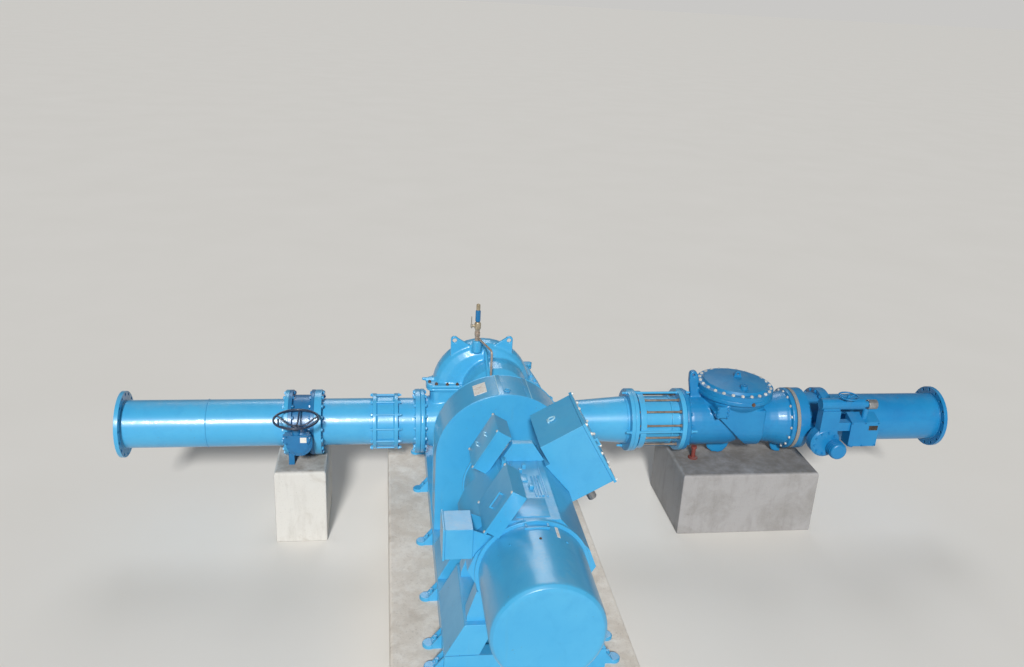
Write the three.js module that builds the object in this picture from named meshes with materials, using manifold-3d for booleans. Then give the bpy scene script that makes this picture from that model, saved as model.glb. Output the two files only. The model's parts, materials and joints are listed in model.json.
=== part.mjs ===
import * as THREE from "three";
import { mergeVertices } from "three/addons/utils/BufferGeometryUtils.js";
import Module from "manifold-3d";

const wasm = await Module();
wasm.setup();

const PIPE_Z = 965;
const DISCHARGE_Z = 951;
const SHAFT_Z = 1280;
const SPLIT_Z = 1320;
const PIPE_R = 203.2;
const BORE_R = 195;
const FLANGE_R = 282.5;
const DN300_R = 162;
const DN300_FLANGE_R = 222.5;
const PLINTH_TOP = 485;
const FRAME_TOP = 650;
const FEET_Z = 880;
const GAP = 0.3;

const VOLUTE_X = -42;
const CHAMBER_X = 60;
const CHAMBER_RISE = 32;
const MOTOR_HALF = 345;
const GUARD_R = 509;
const WHEEL_SUCTION = [-1612, -390, 1092];
const WHEEL_ACTUATOR = [3195, -415, 1330];
const VENT = [-102, -50];
const LEVER_Z = 1880;
const HOUSING_Z = 1275;

const PALE_BLUE = 0x5cb5e4;
const DEEP_BLUE = 0x2486c0;
const VALVE_BLUE = 0x2b6fa8;
const NAVY = 0x1c3350;
const CONCRETE = 0xcfcdc4;
const STEEL = 0xa9adb0;
const BRASS = 0xb08a4a;
const TAN = 0xb99b72;

function solidFrom(geometry) {
  const bare = geometry.index ? geometry.toNonIndexed() : geometry.clone();
  bare.deleteAttribute("normal");
  bare.deleteAttribute("uv");
  const merged = mergeVertices(bare, 1e-3);
  const p = merged.attributes.position.array;
  const source = merged.index.array;
  const kept = [];
  let volume = 0;
  for (let i = 0; i < source.length; i += 3) {
    const [a, b, c] = [source[i], source[i + 1], source[i + 2]];
    if (a === b || b === c || a === c) continue;
    kept.push(a, b, c);
    const u = new THREE.Vector3(p[3 * a], p[3 * a + 1], p[3 * a + 2]);
    const v = new THREE.Vector3(p[3 * b], p[3 * b + 1], p[3 * b + 2]);
    const w = new THREE.Vector3(p[3 * c], p[3 * c + 1], p[3 * c + 2]);
    volume += u.dot(v.cross(w));
  }
  if (volume < 0) kept.reverse();
  const mesh = new wasm.Mesh({
    numProp: 3,
    vertProperties: new Float32Array(p),
    triVerts: new Uint32Array(kept),
  });
  return new wasm.Manifold(mesh);
}

function join(...solids) {
  return solids.reduce((sum, piece) => sum.add(piece));
}

function block(x0, x1, y0, y1, z0, z1) {
  const g = new THREE.BoxGeometry(x1 - x0, y1 - y0, z1 - z0);
  g.translate((x0 + x1) / 2, (y0 + y1) / 2, (z0 + z1) / 2);
  return solidFrom(g);
}

function prism(axis, points, from, to, holes = []) {
  const outline = points.map(([a, b]) => new THREE.Vector2(a, b));
  if (THREE.ShapeUtils.isClockWise(outline)) outline.reverse();
  const shape = new THREE.Shape(outline);
  for (const [a, b, r] of holes) {
    const hole = new THREE.Path();
    hole.absarc(a, b, r, 0, 2 * Math.PI, true);
    shape.holes.push(hole);
  }
  const options = { depth: to - from, bevelEnabled: false, curveSegments: 8 };
  const g = new THREE.ExtrudeGeometry(shape, options);
  const X = new THREE.Vector3(1, 0, 0);
  const Y = new THREE.Vector3(0, 1, 0);
  const Z = new THREE.Vector3(0, 0, 1);
  const basis = { x: [Y, Z, X], y: [X, Z, Y], z: [X, Y, Z] }[axis];
  const place = new THREE.Matrix4().makeBasis(...basis);
  place.setPosition(basis[2].clone().multiplyScalar(from));
  g.applyMatrix4(place);
  return solidFrom(g);
}

function turned(axis, profile, at, segments = 32) {
  const points = profile.map(([r, a]) => new THREE.Vector2(r, a));
  if (profile[0][0] > 0) points.push(points[0].clone());
  const g = new THREE.LatheGeometry(points, segments);
  if (axis === "x") g.rotateZ(-Math.PI / 2);
  if (axis === "z") g.rotateX(Math.PI / 2);
  g.translate(...at);
  return solidFrom(g);
}

function round(axis, r, from, to, at, segments = 32) {
  return turned(axis, [[0, from], [r, from], [r, to], [0, to]], at, segments);
}

function ring(axis, inner, outer, from, to, at, segments = 32) {
  const profile = [[inner, from], [outer, from], [outer, to], [inner, to]];
  return turned(axis, profile, at, segments);
}

function rod(p, q, r, segments = 10) {
  const a = new THREE.Vector3(...p);
  const b = new THREE.Vector3(...q);
  const g = new THREE.CylinderGeometry(r, r, a.distanceTo(b), segments);
  const along = b.clone().sub(a).normalize();
  const turn = new THREE.Quaternion().setFromUnitVectors(new THREE.Vector3(0, 1, 0), along);
  g.applyQuaternion(turn);
  g.translate(...a.add(b).multiplyScalar(0.5).toArray());
  return solidFrom(g);
}

function ball(p, r) {
  const g = new THREE.SphereGeometry(r, 10, 6);
  g.translate(...p);
  return solidFrom(g);
}

function onFace(side, n, s) {
  return [side * (0.8660254 * n + 0.5 * s), SHAFT_Z + 0.5 * n - 0.8660254 * s];
}

function faceBox(side, n0, n1, s0, s1, y0, y1) {
  const corners = [[n0, s0], [n1, s0], [n1, s1], [n0, s1]];
  return prism("y", corners.map(([n, s]) => onFace(side, n, s)), y0, y1);
}

const part = new THREE.Group();

function add(name, manifold, colour, roughness = 0.5, metalness = 0) {
  const out = manifold.getMesh();
  const g = new THREE.BufferGeometry();
  g.setAttribute("position", new THREE.BufferAttribute(new Float32Array(out.vertProperties), 3));
  g.setIndex(new THREE.BufferAttribute(new Uint32Array(out.triVerts), 1));
  g.computeVertexNormals();
  const paint = new THREE.MeshStandardMaterial({ color: colour, roughness, metalness });
  const mesh = new THREE.Mesh(g, paint);
  mesh.name = name;
  part.add(mesh);
}

const onPipe = [0, 0, PIPE_Z];
const onDischarge = [0, 0, DISCHARGE_Z];
const onShaft = [0, 0, SHAFT_Z];

function chamferedBlock(x0, x1, y0, y1, z1, c) {
  const front = [[x0, 0], [x1, 0], [x1, z1 - c], [x1 - c, z1], [x0 + c, z1], [x0, z1 - c]];
  const side = [[y0, 0], [y1, 0], [y1, z1 - c], [y1 - c, z1], [y0 + c, z1], [y0, z1 - c]];
  return prism("y", front, y0, y1).intersect(prism("x", side, x0, x1));
}

function plinth() {
  return chamferedBlock(-855, 770, -2891, 650, PLINTH_TOP, 14);
}

function baseFrame() {
  const near = -2703;
  const far = 580;
  let frame = block(-520, 520, near, far, PLINTH_TOP, FRAME_TOP - 40);
  frame = frame.add(block(-520, -400, near, far, PLINTH_TOP, FRAME_TOP));
  frame = frame.add(block(400, 520, near, far, PLINTH_TOP, FRAME_TOP));
  for (const y of [near, -2110, -1560, -960, 480]) {
    frame = frame.add(block(-410, 410, y, y + 100, PLINTH_TOP, FRAME_TOP));
  }
  frame = frame.add(block(-410, 410, -400, 330, PLINTH_TOP, FRAME_TOP));
  for (const y of [-2605, -2384, -1882, -1185, -379, 300]) {
    frame = frame.add(block(510, 600, y - 40, y + 40, PLINTH_TOP, PLINTH_TOP + 22));
    frame = frame.add(block(-600, -510, y - 40, y + 40, PLINTH_TOP, PLINTH_TOP + 22));
    for (const side of [-1, 1]) {
      const web = [[side * 515, 500], [side * 595, 500], [side * 515, 600]];
      frame = frame.add(prism("y", web, y - 40, y - 28));
      frame = frame.add(prism("y", web, y + 28, y + 40));
    }
  }
  return frame;
}

function motorPedestal(y0, y1) {
  const outline = [[-520, FRAME_TOP], [520, FRAME_TOP], [400, FEET_Z], [-400, FEET_Z]];
  const arch = [[-300, FRAME_TOP - 1], [300, FRAME_TOP - 1], [235, 800], [-235, 800]];
  return prism("y", outline, y0, y1).subtract(prism("y", arch, y0 - 1, y1 + 1));
}

function motorShell(scale = 1) {
  const half = [[199, -MOTOR_HALF], [398, 0], [350, 121], [155, MOTOR_HALF]];
  const corners = [...half, ...half.map(([x, z]) => [-x, z]).reverse()];
  const box = prism("y", corners.map(([x, z]) => [x * scale, SHAFT_Z + z * scale]), -2700, -1925);
  return box.add(round("y", 335 * scale, -1926, -1690, onShaft, 48));
}

function motorFrame() {
  let frame = motorShell();
  for (const [y, inner, outer, top] of [
    [-2660, 225, 330, 1100], [-2200, 225, 330, 1100], [-1800, 180, 300, 1125],
  ]) {
    for (const side of [-1, 1]) {
      const foot = [
        [side * inner, FEET_Z],
        [side * 385, FEET_Z],
        [side * 385, FEET_Z + 38],
        [side * outer, top],
        [side * inner, 1045],
      ];
      frame = frame.add(prism("y", foot, y, y + 110));
    }
  }
  return frame;
}

function onShell(box) {
  return box.subtract(motorShell(1.0012));
}

function driveEndshield() {
  const profile = [
    [0, -1690], [345, -1690], [345, -1668], [322, -1655], [250, -1500], [215, -1440],
    [150, -1405], [130, -1380], [120, -1345], [0, -1345],
  ];
  return turned("y", profile, onShaft, 36);
}

function motorShaft() {
  return round("y", 45, -1345, -1272.3, onShaft, 20);
}

function rearFlange() {
  return round("y", 356, -2726, -2700, onShaft, 40);
}

function fanCowl() {
  const profile = [
    [0, -3328], [285, -3328], [312, -3320], [328, -3304], [333, -3280], [333, -2726], [0, -2726],
  ];
  return turned("y", profile, onShaft, 40);
}

function topHousing() {
  const top = SHAFT_Z + MOTOR_HALF;
  const outline = [[-131, top], [155, top], [172, top + 6], [88, top + 133], [-52, top + 133]];
  return prism("y", outline, -1980, -1928);
}

function mainTerminalBox() {
  const box = faceBox(1, MOTOR_HALF + GAP, 665 - GAP, -335, 155, -2012, -1525);
  return onShell(box.add(faceBox(1, 300, MOTOR_HALF + 1, -190, 155, -2012, -1692)));
}

function terminalCover() {
  let cover = faceBox(1, 665, 685, -345, 165, -2024, -1513);
  for (const s of [-185, -139]) {
    cover = cover.add(faceBox(1, 684, 705, s - 7, s + 7, -1997, -1983));
  }
  return cover.add(faceBox(1, 697, 710, -192, -132, -1997, -1983));
}

function driveAuxBox() {
  const box = faceBox(-1, 318, 421, -428, -118, -2000, -1740);
  return onShell(box.add(faceBox(-1, 285, 319, -170, -118, -1920, -1740)));
}

function rearAuxBox() {
  const box = faceBox(-1, 318, 405, -414, -107, -2742, -2408);
  const lid = faceBox(-1, 403, 419, -417, -95, -2750, -2400);
  const grip = faceBox(-1, 436, 446, -331, -214, -2648, -2638);
  const posts = [-331, -224].map((s) => faceBox(-1, 418, 437, s, s + 10, -2648, -2638));
  return onShell(join(box, lid, grip, ...posts)).subtract(round("y", 356.5, -2726.5, -2690, onShaft, 40));
}

function sideJunctionBox() {
  const box = block(-540, -370, -2700, -2480, 1365, 1570);
  const web = [[-371, 1372], [-362.1, 1372], [-350.5, 1401.2], [-254, 1512], [-371, 1556]];
  const arms = join(prism("y", web, -2690, -2678), prism("y", web, -2502, -2490));
  return join(box, arms, block(-552, -538, -2706, -2474, 1359, 1576));
}

function cableGlands() {
  const lower = 155;
  let plate = faceBox(1, 430, 600, lower + GAP, lower + 12, -1960, -1580);
  for (const [n, y, r, length] of [[480, -1900, 32, 110], [480, -1770, 32, 110], [550, -1640, 24, 80]]) {
    const [x0, z0] = onFace(1, n, lower + 6);
    const [x1, z1] = onFace(1, n, lower + length);
    plate = plate.add(rod([x0, y, z0], [x1, y, z1], r, 12));
  }
  return plate;
}

function flywheelGuard() {
  const outline = [[-GUARD_R, FRAME_TOP], [GUARD_R, FRAME_TOP]];
  for (let i = 0; i <= 28; i++) {
    const turn = (Math.PI * i) / 28;
    outline.push([GUARD_R * Math.cos(turn), SHAFT_Z + GUARD_R * Math.sin(turn)]);
  }
  return prism("y", outline, -1272, -900);
}

function guardPlate() {
  const place = new THREE.Matrix4().makeRotationY(-0.366);
  const g = new THREE.BoxGeometry(100, 176, 3);
  g.translate(0, -1088, GUARD_R + 1.7);
  g.applyMatrix4(place);
  g.translate(0, 0, SHAFT_Z);
  return solidFrom(g);
}

function casingTurned(side) {
  const seal = [[0, -520], [118, -520], [125, -512], [125, 512], [118, 520], [0, 520]];
  const chamber = [
    [0, -392], [125, -390], [212, -345], [262, -262], [280, -150],
    [280, 150], [262, 262], [212, 345], [125, 390], [0, 392],
  ];
  const band = [
    [0, -75], [270, -75], [340, -66], [392, -40], [422, 0], [432, 50], [430, 110], [415, 135], [0, 135],
  ];
  return join(
    turned("y", seal, onShaft, 32),
    turned("y", chamber, [CHAMBER_X, 0, SHAFT_Z + side * CHAMBER_RISE], 36),
    turned("y", band, [VOLUTE_X, 0, SHAFT_Z], 40),
  );
}

const SPLIT = [
  [-531, -40], [-524, -72], [-506, -98], [-478, -113], [-240, -113], [-232, -290], [-140, -400],
  [-140, -505], [140, -505], [140, -430], [330, -405], [458, -398], [500, -362], [470, -208],
  [458, -22], [432, 202], [416, 345], [458, 371], [471, 421], [448, 442], [300, 430], [140, 440],
  [140, 505], [-140, 505], [-140, 400], [-232, 290], [-240, 162], [-430, 162], [-478, 113],
  [-506, 98], [-524, 72], [-531, 40],
];

function lowerCasing() {
  let body = casingTurned(-1);
  body = body.intersect(block(-700, 700, -600, 600, 0, SPLIT_Z - 20));
  body = body.add(prism("z", SPLIT, SPLIT_Z - 25, SPLIT_Z));
  const neck = [
    [-498, 0], [-490, -58], [-464, -94], [-430, -104], [-200, -104],
    [-200, 104], [-430, 104], [-464, 94], [-490, 58],
  ];
  body = body.add(prism("z", neck, 1120, SPLIT_Z - 15));
  const inlet = [
    [0, -581], [FLANGE_R, -581], [FLANGE_R, -540], [PIPE_R + 12, -540],
    [PIPE_R + 40, -380], [230, -150], [0, -150],
  ];
  const outlet = [
    [0, 150], [215, 150], [200, 380], [DN300_R + 8, 537],
    [DN300_FLANGE_R, 537], [DN300_FLANGE_R, 568], [0, 568],
  ];
  body = body.add(turned("x", inlet, onPipe, 32));
  body = body.add(turned("x", outlet, onDischarge, 32));
  body = body.add(block(-290, 290, -240, 240, FRAME_TOP, 1000));
  for (const side of [-1, 1]) {
    const edges = [side * 180, side * 420].sort((a, b) => a - b);
    body = body.add(block(...edges, -300, 300, FRAME_TOP, FRAME_TOP + 45));
    for (const y of [-220, 0, 220]) {
      const web = [[side * 400, 690], [side * 190, 690], [side * 150, 1000], [side * 300, 1000]];
      body = body.add(prism("y", web, y - 20, y + 20));
    }
    const top = 1170 - GAP;
    const arm = [
      [side * 380, 1100], [side * 540, 1128], [side * 760, 1140], [side * 760, top], [side * 380, top],
    ];
    body = body.add(prism("x", arm, -95, 95));
  }
  return body;
}

function upperCasing() {
  let body = casingTurned(1);
  body = body.intersect(block(-700, 700, -600, 600, SPLIT_Z + 25, 2500));
  body = body.add(prism("z", SPLIT, SPLIT_Z + GAP, SPLIT_Z + 30));
  for (const [x, out, low] of [[-290, -1, 1560], [182, 1, 1590]]) {
    const lug = [
      [x + out * 34, low], [x - out * 130, low + 70], [x - out * 130, 1686], [x - out * 30, 1750],
      [x - out * 12, 1766], [x + out * 14, 1768], [x + out * 34, 1748],
    ];
    body = body.add(prism("y", lug, -14, 14, [[x, 1728, 20]]));
  }
  const rib = [
    [-400, 1388], [-70, 1388], [-62, 1690], [-120, 1650], [-176, 1613],
    [-228, 1580], [-295, 1552], [-345, 1520], [-400, 1440],
  ];
  body = body.add(prism("x", rib, -36, -16));
  body = body.add(round("z", 42, 1640, 1748, [VENT[0], VENT[1], 0], 20));
  body = body.add(round("z", 30, 1380, 1440, [-20, -450, 0], 16));
  body = body.add(round("x", 14, -565, -440, [0, 16, SPLIT_Z + 42], 14));
  return body;
}

function bearingHousing(side) {
  const profile = [
    [0, 560], [92, 560], [92, 580], [110, 588], [110, 732], [92, 740], [92, 760], [0, 760],
  ].map(([r, a]) => [r, side * a]);
  return turned("y", side > 0 ? profile : profile.reverse(), onShaft, 32);
}

function ventPipe() {
  const [x, y] = VENT;
  const low = [-20, -450, 1440 + GAP];
  const bend = [-20, -450, 1805];
  const joint = [x, y, 1770];
  let pipe = join(rod(low, bend, 9), ball(bend, 11), rod(bend, joint, 9));
  pipe = pipe.add(round("z", 20, 1748 + GAP, 1845, [x, y, 0], 16));
  return pipe.add(round("z", 26, 1790, 1825, [x, y, 0], 6));
}

function ventCock() {
  const [x, y] = VENT;
  const profile = [[0, 1845.3], [21, 1845.3], [28, 1860], [28, 1900], [21, 1915], [0, 1915]];
  const body = turned("z", profile, [x, y, 0], 20);
  return body.add(round("x", 12, x - 45, x, [0, y, LEVER_Z], 12));
}

function ventLever() {
  const [x, y] = VENT;
  const plate = block(x - 56, x - 50, y - 14, y + 14, LEVER_Z - 20, LEVER_Z + 80);
  const hub = round("x", 17, x - 60, x - 45 - GAP, [0, y, LEVER_Z], 16);
  return join(plate, hub);
}

function ventReceiver() {
  const [x, y] = VENT;
  const profile = [[0, 1915 + GAP], [12, 1915 + GAP], [22, 1925], [22, 2015], [14, 2022], [0, 2022]];
  return turned("z", profile, [x, y, 0], 20);
}

function ventCap() {
  const [x, y] = VENT;
  return turned("z", [[0, 2022.3], [17, 2022.3], [17, 2070], [9, 2078], [0, 2078]], [x, y, 0], 16);
}

function suctionInlet() {
  const profile = [
    [BORE_R, -3091], [FLANGE_R, -3091], [FLANGE_R, -3057], [PIPE_R, -3057],
    [PIPE_R, -1731], [FLANGE_R, -1731], [FLANGE_R, -1697.3], [BORE_R, -1697.3],
  ];
  return turned("x", profile, onPipe, 36);
}

function suctionValve() {
  const profile = [
    [BORE_R, -1697], [FLANGE_R, -1697], [FLANGE_R, -1668], [238, -1664],
    [238, -1516], [FLANGE_R, -1512], [FLANGE_R, -1483.3], [BORE_R, -1483.3],
  ];
  const body = turned("x", profile, onPipe, 36);
  const stem = round("y", 72, -331, -215, [-1590, 0, PIPE_Z], 24);
  const feet = join(block(-1697, -1650, -250, -170, 682.5, 790), block(-1697, -1650, 170, 250, 682.5, 790));
  return join(body, stem, feet);
}

function valveDisc(x, z) {
  const profile = [
    [0, x - 34], [60, x - 30], [180, x - 10], [194, x - 6],
    [194, x + 6], [180, x + 10], [60, x + 30], [0, x + 34],
  ];
  return turned("x", profile, [0, 0, z], 32);
}

function suctionGearbox() {
  const drum = [[0, -424], [62, -424], [80, -416], [108, -402], [108, -345], [92, -331.3], [0, -331.3]];
  let box = turned("y", drum, [-1592, 0, PIPE_Z - 10], 28);
  box = box.add(block(-1710, -1510, -428, -352, 968, 1046));
  box = box.add(round("z", 34, 1000, 1091.7, [WHEEL_SUCTION[0], WHEEL_SUCTION[1], 0], 20));
  box = box.add(round("x", 37, -1722, -1500, [0, -390, 1006], 18));
  return box;
}

function dataPlate() {
  return block(-1581, -1529, -429.5, -428.3, 982, 1030);
}

function handwheel([x, y, z], r, rise, tube, spokes, start) {
  const rim = new THREE.TorusGeometry(r - tube, tube, 6, 30);
  rim.translate(x, y, z + rise);
  let wheel = solidFrom(rim);
  wheel = wheel.add(round("z", 0.17 * r, z + GAP, z + 0.2 * r, [x, y, 0], 16));
  for (let i = 0; i < spokes; i++) {
    const turn = start + (2 * Math.PI * i) / spokes;
    const from = [x + 0.1 * r * Math.cos(turn), y + 0.1 * r * Math.sin(turn), z + 0.12 * r];
    const to = [x + (r - tube) * Math.cos(turn), y + (r - tube) * Math.sin(turn), z + rise];
    wheel = wheel.add(rod(from, to, tube * 0.8, 6));
  }
  return wheel;
}

function suctionWheel() {
  const [x, y, z] = WHEEL_SUCTION;
  const wheel = handwheel(WHEEL_SUCTION, 190, 90, 10, 5, 0.227);
  return wheel.add(round("z", 8, z + 88, z + 155, [x - 129, y - 125, 0], 10));
}

function suctionSpool() {
  const profile = [
    [0, -1483], [FLANGE_R, -1483], [FLANGE_R, -1422], [PIPE_R, -1422], [PIPE_R, -886], [0, -886],
  ];
  return turned("x", profile, onPipe, 36);
}

function couplingSleeve() {
  const inner = PIPE_R + 1;
  const profile = [
    [inner, -990], [245, -990], [245, -958], [226, -950],
    [226, -812], [245, -804], [245, -772], [inner, -772],
  ];
  return turned("x", profile, onPipe, 36);
}

function pumpSpool() {
  const profile = [
    [0, -876], [PIPE_R, -876], [PIPE_R, -624], [FLANGE_R, -624], [FLANGE_R, -581.3], [0, -581.3],
  ];
  return turned("x", profile, onPipe, 36);
}

function reducer() {
  const profile = [
    [0, 568.3], [DN300_FLANGE_R, 568.3], [DN300_FLANGE_R, 600], [DN300_R, 600],
    [214, 1270], [214, 1287], [286, 1287], [286, 1322], [0, 1322],
  ];
  return turned("x", profile, onDischarge, 36);
}

function dismantlingBody() {
  const profile = [
    [0, 1322.3], [286, 1322.3], [286, 1357], [222, 1357], [222, 1375], [262, 1375],
    [262, 1430], [216, 1430], [216, 1674], [228, 1674], [228, 1690], [0, 1690],
  ];
  return turned("x", profile, onDischarge, 36);
}

function dismantlingSpigot() {
  const profile = [[0, 1690.3], [207, 1690.3], [207, 1755], [284, 1755], [284, 1797], [0, 1797]];
  return turned("x", profile, onDischarge, 36);
}

const SEAT_PLANE = 3166;
const COVER_TILT = 0.031;
const COVER_AT = [2297, 0, 1286];

function tilted(geometry) {
  geometry.rotateX(Math.PI / 2);
  geometry.rotateY(COVER_TILT);
  geometry.translate(...COVER_AT);
  return solidFrom(geometry);
}

function tiltedTurned(profile, segments = 36) {
  const points = profile.map(([r, a]) => new THREE.Vector2(r, a));
  return tilted(new THREE.LatheGeometry(points, segments));
}

function checkBarrel() {
  const outline = [[-272, 1150]];
  for (let i = 0; i <= 18; i++) {
    const turn = Math.PI * (1 + i / 18);
    outline.push([272 * Math.cos(turn), DISCHARGE_Z + 238 * Math.sin(turn)]);
  }
  outline.push([272, 1150]);
  const barrel = prism("x", outline, 1950, 2526);
  const plan = round("z", 345, 600, 1200, [2300, 0, 0], 40).add(block(1900, 2300, -280, 280, 600, 1200));
  return barrel.intersect(plan).trimByPlane([Math.SQRT1_2, 0, Math.SQRT1_2], SEAT_PLANE * Math.SQRT1_2);
}

function checkValve() {
  const profile = [
    [0, 1797.3], [284, 1797.3], [284, 1838], [218, 1838], [230, 1872], [235, 1950], [235, 2225],
    [224, 2285], [205, 2335], [205, 2440], [214, 2526], [216, 2600], [226, 2680], [248, 2750],
    [252, 2793], [FLANGE_R, 2793], [FLANGE_R, 2839], [0, 2839],
  ];
  const throat = [
    [0, -215], [236, -205], [262, -165], [306, -110], [318, -88],
    [318, -75], [350, -62], [350, -20], [0, -20],
  ];
  let body = turned("x", profile, onDischarge, 36);
  body = join(body, checkBarrel(), tiltedTurned(throat), block(2045, 2160, -302, -100, 1093, 1203));
  const foot = [
    [2090, 760], [2095, 700], [2112, 652], [2160, 614],
    [2225, 605.3], [2260, 612], [2305, 665], [2330, 760],
  ];
  const endFoot = [[2725, 730], [2728, 665], [2752, 622], [2790, 605.3], [2836, 605.3], [2836, 730]];
  return join(body, prism("y", foot, -22, 22), prism("y", endFoot, -22, 22));
}

function checkValveLug() {
  const outline = [
    [1886, 1150], [1995, 1150], [1995, 1245], [1944, 1255], [1944, 1340], [1926, 1404],
    [1912, 1428], [1885, 1436], [1860, 1426], [1850, 1402], [1855, 1330], [1872, 1240],
  ];
  return prism("y", outline, -26, 26, [[1888, 1396, 14]]);
}

function supportJack() {
  const profile = [[0, 605], [45, 605], [45, 614], [19, 614], [19, 700], [27, 704], [27, 726], [0, 726]];
  return turned("z", profile, [1945, -115, 0], 16);
}

function checkValveCover() {
  const profile = [[0, -19.7], [348, -19.7], [348, 22], [300, 26], [285, 48], [120, 66], [0, 70]];
  const boss = round("z", 34, 1325, 1368, [2303, -200, 0], 20);
  const loop = [[2286, 1340], [2370, 1340], [2352, 1392], [2340, 1408], [2316, 1408], [2304, 1392]];
  const eye = prism("y", loop, 28, 46, [[2328, 1386, 13]]);
  return join(tiltedTurned(profile), boss, eye);
}

function gasket() {
  return ring("x", BORE_R, FLANGE_R + 1, 2839.3, 2870.7, onDischarge, 36);
}

function dischargeValve() {
  const profile = [
    [BORE_R, 2871], [FLANGE_R, 2871], [FLANGE_R, 2959], [240, 2963],
    [240, 3103], [FLANGE_R, 3107], [FLANGE_R, 3150], [BORE_R, 3150],
  ];
  const body = turned("x", profile, onDischarge, 36);
  return body.add(round("y", 72, -331, -215, [3033, 0, DISCHARGE_Z], 24));
}

function actuatorGearbox() {
  const drum = [[0, -452], [118, -452], [137, -438], [137, -350], [118, -331.3], [0, -331.3]];
  const box = turned("y", drum, [3040, 0, 909], 32);
  return box.add(block(2964, 3134, -450, -352, 980, HOUSING_Z - 52 - GAP));
}

function actuatorHousing() {
  const [x, y, z] = WHEEL_ACTUATOR;
  const body = round("x", 52, 2950, 3352, [0, -400, HOUSING_Z], 28);
  const collar = round("x", 30, 3350, 3396, [0, -400, HOUSING_Z - 6], 20);
  const foot = block(2970, 3128, -440, -360, HOUSING_Z - 52, HOUSING_Z);
  return join(body, collar, foot, round("z", 40, HOUSING_Z, z, [x, y, 0], 20));
}

function actuatorMotor() {
  const profile = [[0, -560], [62, -560], [76, -548], [78, -452.3], [0, -452.3]];
  return turned("y", profile, [3123, 0, 872], 28);
}

function controlBox() {
  const side = [[-440, 868], [-310, 868], [-310, 1152], [-440, 1107]];
  const arm = block(3134 + GAP, 3270, -420, -340, 1014, 1095);
  const neck = round("z", 27, 1100, HOUSING_Z - 52 - GAP, [3405, -375, 0], 16);
  return join(prism("x", side, 3262, 3530), arm, neck);
}

function controlCap() {
  return round("x", 44, 3396.3, 3480, [0, -400, HOUSING_Z - 8], 24);
}

function actuatorWheel() {
  return handwheel(WHEEL_ACTUATOR, 92, 26, 7, 3, 0.4);
}

function outletPipe() {
  const profile = [
    [BORE_R, 3150.3], [FLANGE_R, 3150.3], [FLANGE_R, 3190], [218, 3190],
    [218, 4280], [FLANGE_R, 4280], [FLANGE_R, 4314], [BORE_R, 4314],
  ];
  return turned("x", profile, onDischarge, 36);
}

add("plinth", plinth(), CONCRETE, 0.9);
add("suction_support_block", chamferedBlock(-1813, -1380, -386, 386, 682.2, 16), CONCRETE, 0.9);
add("discharge_support_block", chamferedBlock(1760, 3040, -450, 450, 604.7, 16), CONCRETE, 0.9);
add("base_frame", baseFrame(), PALE_BLUE);
add("motor_pedestal_rear", motorPedestal(-2700, -2050), PALE_BLUE);
add("motor_pedestal_drive", motorPedestal(-1900, -1460), PALE_BLUE);
add("motor_frame", motorFrame(), PALE_BLUE);
add("motor_drive_endshield", driveEndshield(), PALE_BLUE);
add("motor_shaft", motorShaft(), STEEL, 0.3, 1);
add("motor_rear_flange", rearFlange(), PALE_BLUE);
add("motor_fan_cowl", fanCowl(), PALE_BLUE);
add("motor_top_housing", topHousing(), PALE_BLUE);
add("main_terminal_box", mainTerminalBox(), PALE_BLUE);
add("main_terminal_cover", terminalCover(), PALE_BLUE);
add("aux_box_drive_end", driveAuxBox(), PALE_BLUE);
add("aux_box_rear", rearAuxBox(), PALE_BLUE);
add("side_junction_box", sideJunctionBox(), PALE_BLUE);
add("cable_glands", cableGlands(), STEEL, 0.4, 1);
add("flywheel_guard", flywheelGuard(), PALE_BLUE);
add("guard_plate", guardPlate(), 0xe8e8e4, 0.4);
add("pump_lower_casing", lowerCasing(), PALE_BLUE);
add("pump_upper_casing", upperCasing(), PALE_BLUE);
add("bearing_housing_drive", bearingHousing(-1), PALE_BLUE);
add("bearing_housing_free", bearingHousing(1), PALE_BLUE);
add("pump_shaft_drive", round("y", 42, -899.7, -760.3, onShaft, 20), STEEL, 0.3, 1);
add("pump_shaft_near_seal", round("y", 42, -559.7, -520.3, onShaft, 20), STEEL, 0.3, 1);
add("pump_shaft_far_seal", round("y", 42, 520.3, 559.7, onShaft, 20), STEEL, 0.3, 1);
add("vent_pipe", ventPipe(), STEEL, 0.4, 1);
add("vent_cock", ventCock(), BRASS, 0.4, 1);
add("vent_cock_lever", ventLever(), 0x8a8378, 0.5);
add("vent_receiver", ventReceiver(), VALVE_BLUE);
add("vent_cap", ventCap(), BRASS, 0.4, 1);
add("suction_inlet_pipe", suctionInlet(), PALE_BLUE);
add("suction_valve_body", suctionValve(), VALVE_BLUE);
add("suction_valve_disc", valveDisc(-1590, PIPE_Z), STEEL, 0.4, 1);
add("suction_valve_gearbox", suctionGearbox(), VALVE_BLUE);
add("suction_gearbox_plate", dataPlate(), 0xe8e8e4, 0.4);
add("suction_valve_handwheel", suctionWheel(), NAVY);
add("suction_spool", suctionSpool(), PALE_BLUE);
add("suction_coupling_sleeve", couplingSleeve(), PALE_BLUE);
add("suction_pump_spool", pumpSpool(), PALE_BLUE);
add("discharge_reducer", reducer(), PALE_BLUE);
add("dismantling_joint_body", dismantlingBody(), PALE_BLUE);
add("dismantling_joint_spigot", dismantlingSpigot(), PALE_BLUE);
add("check_valve_body", checkValve().add(checkValveLug()), DEEP_BLUE);
add("check_valve_cover", checkValveCover(), DEEP_BLUE);
add("check_valve_jack", supportJack(), 0x7a3b38);
add("discharge_gasket", gasket(), TAN, 0.8);
add("discharge_valve_body", dischargeValve(), DEEP_BLUE);
add("discharge_valve_disc", valveDisc(3033, DISCHARGE_Z), STEEL, 0.4, 1);
add("actuator_gearbox", actuatorGearbox(), DEEP_BLUE);
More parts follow.
